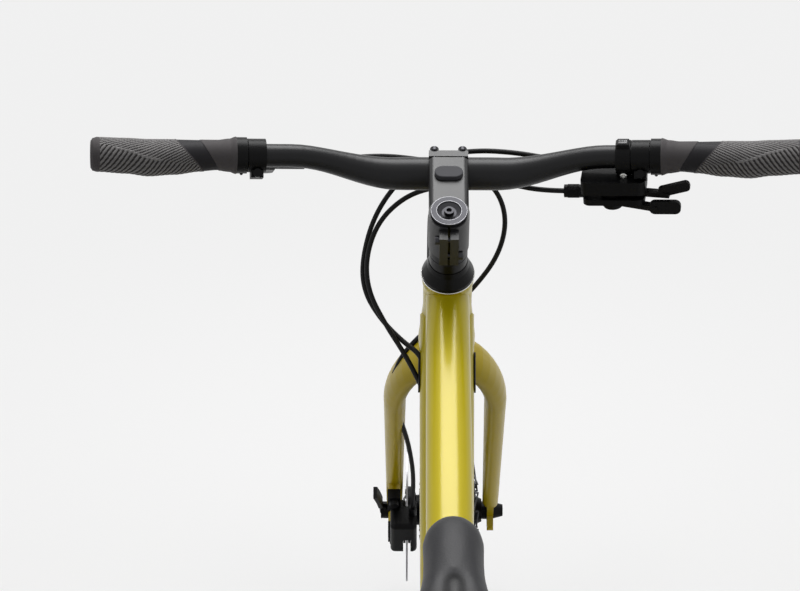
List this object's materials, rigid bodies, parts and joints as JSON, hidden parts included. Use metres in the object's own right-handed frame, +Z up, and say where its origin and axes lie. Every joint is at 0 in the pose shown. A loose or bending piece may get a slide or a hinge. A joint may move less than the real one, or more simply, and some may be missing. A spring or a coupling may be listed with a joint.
{
  "type": "hybrid bicycle",
  "caption": "Hybrid bicycle with a sloping frame, rigid fork, riser bar, disc brakes, rear derailleur and padded saddle, for riding on roads and paths.",
  "frame": {"origin": "on the ground midway between the two wheel axles, in the middle plane", "axes": "+X forward, +Y to the rider's left, +Z up"},
  "size_m": [1.7599, 0.6784, 0.9289],
  "materials": {
    "yellow_paint": "gloss paint",
    "black_anodised": "satin",
    "silver_alloy": "machined",
    "steel": "brushed",
    "dark_steel": "dark",
    "black_plastic": "matte",
    "grip_rubber": "matte",
    "tyre_rubber": "matte",
    "hose": "satin",
    "saddle_cover": "matte",
    "saddle_shell": "matte"
  },
  "bodies": {
    "frame": {"head_tube": "yellow_paint", "top_tube": "yellow_paint", "down_tube": "yellow_paint", "seat_tube": "yellow_paint", "rear_stays": "yellow_paint", "rear_dropouts": "yellow_paint", "seat_collar": "black_anodised", "cable_ports": "grip_rubber", "frame_bearings": "steel", "rear_caliper": "black_anodised", "rear_axle": "steel", "chain": "dark_steel", "rear_brake_hose": "hose", "shift_housing": "hose", "derailleur_upper_knuckle": "black_anodised"},
    "seat": {"seatpost": "black_anodised", "saddle_rails": "dark_steel", "saddle_shell": "saddle_shell", "saddle_pad": "saddle_cover"},
    "steering": {"fork": "yellow_paint", "headset_spacers": "black_anodised", "stem": "black_anodised", "stem_faceplate": "black_anodised", "stem_hardware": "dark_steel", "stem_plug": "grip_rubber", "handlebar": "black_anodised", "grips": "grip_rubber", "grip_collars": "black_anodised", "brake_lever_bodies": "black_anodised", "shifter_body": "black_plastic", "front_caliper": "black_anodised", "front_axle": "steel", "front_brake_hose": "hose"},
    "left_lever": {"left_brake_lever": "black_anodised"},
    "right_lever": {"right_brake_lever": "black_anodised"},
    "thumb": {"thumb_paddle": "black_plastic"},
    "release": {"release_paddle": "black_plastic"},
    "front_wheel": {"front_tyre": "tyre_rubber", "front_rim": "black_anodised", "front_spokes": "dark_steel", "front_hub": "black_anodised", "front_rotor": "steel"},
    "rear_wheel": {"rear_tyre": "tyre_rubber", "rear_rim": "black_anodised", "rear_spokes": "dark_steel", "rear_hub": "black_anodised", "rear_rotor": "steel"},
    "crankset": {"chainring": "dark_steel", "crank_arms": "black_anodised"},
    "sprockets": {"cassette": "steel"},
    "pedal_left": {"left_pedal": "black_plastic"},
    "pedal_right": {"right_pedal": "black_plastic"},
    "link_outer": {"derailleur_outer_link": "black_anodised"},
    "link_inner": {"derailleur_inner_link": "black_anodised"},
    "knuckle": {"derailleur_lower_knuckle": "black_anodised"},
    "cage": {"derailleur_cage": "dark_steel"},
    "pulley_guide": {"guide_pulley": "black_plastic"},
    "pulley_tension": {"tension_pulley": "black_plastic"},
    "qr_front": {"front_qr_lever": "black_anodised"},
    "qr_rear": {"rear_qr_lever": "black_anodised"}
  },
  "joints": [
    {"name": "steering_turn", "type": "hinge", "parent": "frame", "child": "steering", "pos_m": [0.48498, 0, 0.32864], "axis": [-0.3338, 0, 0.9426], "range_deg": [-70, 70], "deforming": ["rear_brake_hose", "shift_housing"]},
    {"name": "front_wheel_spin", "type": "hinge", "parent": "steering", "child": "front_wheel", "pos_m": [0.534, 0, 0.346], "axis": [0, 1, 0], "continuous": true},
    {"name": "rear_wheel_spin", "type": "hinge", "parent": "frame", "child": "rear_wheel", "pos_m": [-0.534, 0, 0.346], "axis": [0, 1, 0], "continuous": true},
    {"name": "crank_spin", "type": "hinge", "parent": "frame", "child": "crankset", "pos_m": [-0.0996, 0, 0.276], "axis": [0, 1, 0], "continuous": true, "deforming": ["chain"]},
    {"name": "cassette_spin", "type": "hinge", "parent": "frame", "child": "sprockets", "pos_m": [-0.534, 0, 0.346], "axis": [0, 1, 0], "continuous": true},
    {"name": "left_pedal_spin", "type": "hinge", "parent": "crankset", "child": "pedal_left", "pos_m": [-0.2696, 0.121, 0.276], "axis": [0, 1, 0], "continuous": true},
    {"name": "right_pedal_spin", "type": "hinge", "parent": "crankset", "child": "pedal_right", "pos_m": [0.0704, -0.121, 0.276], "axis": [0, 1, 0], "continuous": true},
    {"name": "left_brake_squeeze", "type": "hinge", "parent": "steering", "child": "left_lever", "pos_m": [0.39818, 0.17708, 0.8694], "axis": [0.6089, 0.0216, 0.7929], "range_deg": [0, 16], "stiffness_Nm_per_rad": 3, "springref_deg": -8.59},
    {"name": "right_brake_squeeze", "type": "hinge", "parent": "steering", "child": "right_lever", "pos_m": [0.39818, -0.17708, 0.8694], "axis": [-0.6089, 0.0216, -0.7929], "range_deg": [0, 16], "stiffness_Nm_per_rad": 3, "springref_deg": -8.59},
    {"name": "thumb_push", "type": "hinge", "parent": "steering", "child": "thumb", "pos_m": [0.35895, -0.15729, 0.86039], "axis": [0, 0.0872, 0.9962], "range_deg": [0, 30], "stiffness_Nm_per_rad": 0.5, "springref_deg": -11.46},
    {"name": "release_push", "type": "hinge", "parent": "steering", "child": "release", "pos_m": [0.35895, -0.15729, 0.86039], "axis": [0, 0.0872, 0.9962], "range_deg": [0, 20], "stiffness_Nm_per_rad": 0.5, "springref_deg": -11.46},
    {"name": "derailleur_shift", "type": "hinge", "parent": "frame", "child": "link_outer", "pos_m": [-0.558, -0.08575, 0.29482], "axis": [0, 0.6428, 0.766], "range_deg": [-35, 35], "stiffness_Nm_per_rad": 2},
    {"name": "inner_link_follow", "type": "hinge", "parent": "frame", "child": "link_inner", "pos_m": [-0.558, -0.07426, 0.28518], "axis": [0, 0.6428, 0.766], "range_deg": [-35, 35]},
    {"name": "knuckle_follow", "type": "hinge", "parent": "link_outer", "child": "knuckle", "pos_m": [-0.52, -0.08575, 0.29482], "axis": [0, 0.6428, 0.766], "range_deg": [-35, 35]},
    {"name": "cage_swing", "type": "hinge", "parent": "knuckle", "child": "cage", "pos_m": [-0.528, -0.0435, 0.262], "axis": [0, 1, 0], "range_deg": [-40, 30], "stiffness_Nm_per_rad": 2},
    {"name": "guide_pulley_spin", "type": "hinge", "parent": "cage", "child": "pulley_guide", "pos_m": [-0.528, -0.0435, 0.262], "axis": [0, 1, 0], "continuous": true},
    {"name": "tension_pulley_spin", "type": "hinge", "parent": "cage", "child": "pulley_tension", "pos_m": [-0.50405, -0.0435, 0.17525], "axis": [0, 1, 0], "continuous": true},
    {"name": "front_release_open", "type": "hinge", "parent": "steering", "child": "qr_front", "pos_m": [0.534, 0.065, 0.346], "axis": [-0.8829, 0, -0.4695], "range_deg": [0, 170]},
    {"name": "rear_release_open", "type": "hinge", "parent": "frame", "child": "qr_rear", "pos_m": [-0.534, 0.0825, 0.346], "axis": [-0.6157, 0, -0.788], "range_deg": [0, 170]},
    {"name": "seat_height", "type": "slide", "parent": "frame", "child": "seat", "axis": [-0.2924, 0, 0.9563], "range_m": [-0.04, 0.1]}
  ],
  "couplings": [
    {"joint": "cassette_spin", "follows": "crank_spin", "ratio": 2},
    {"joint": "guide_pulley_spin", "follows": "crank_spin", "ratio": -3.6364},
    {"joint": "tension_pulley_spin", "follows": "crank_spin", "ratio": 3.6364},
    {"joint": "inner_link_follow", "follows": "derailleur_shift", "ratio": 1},
    {"joint": "knuckle_follow", "follows": "derailleur_shift", "ratio": -1}
  ]
}
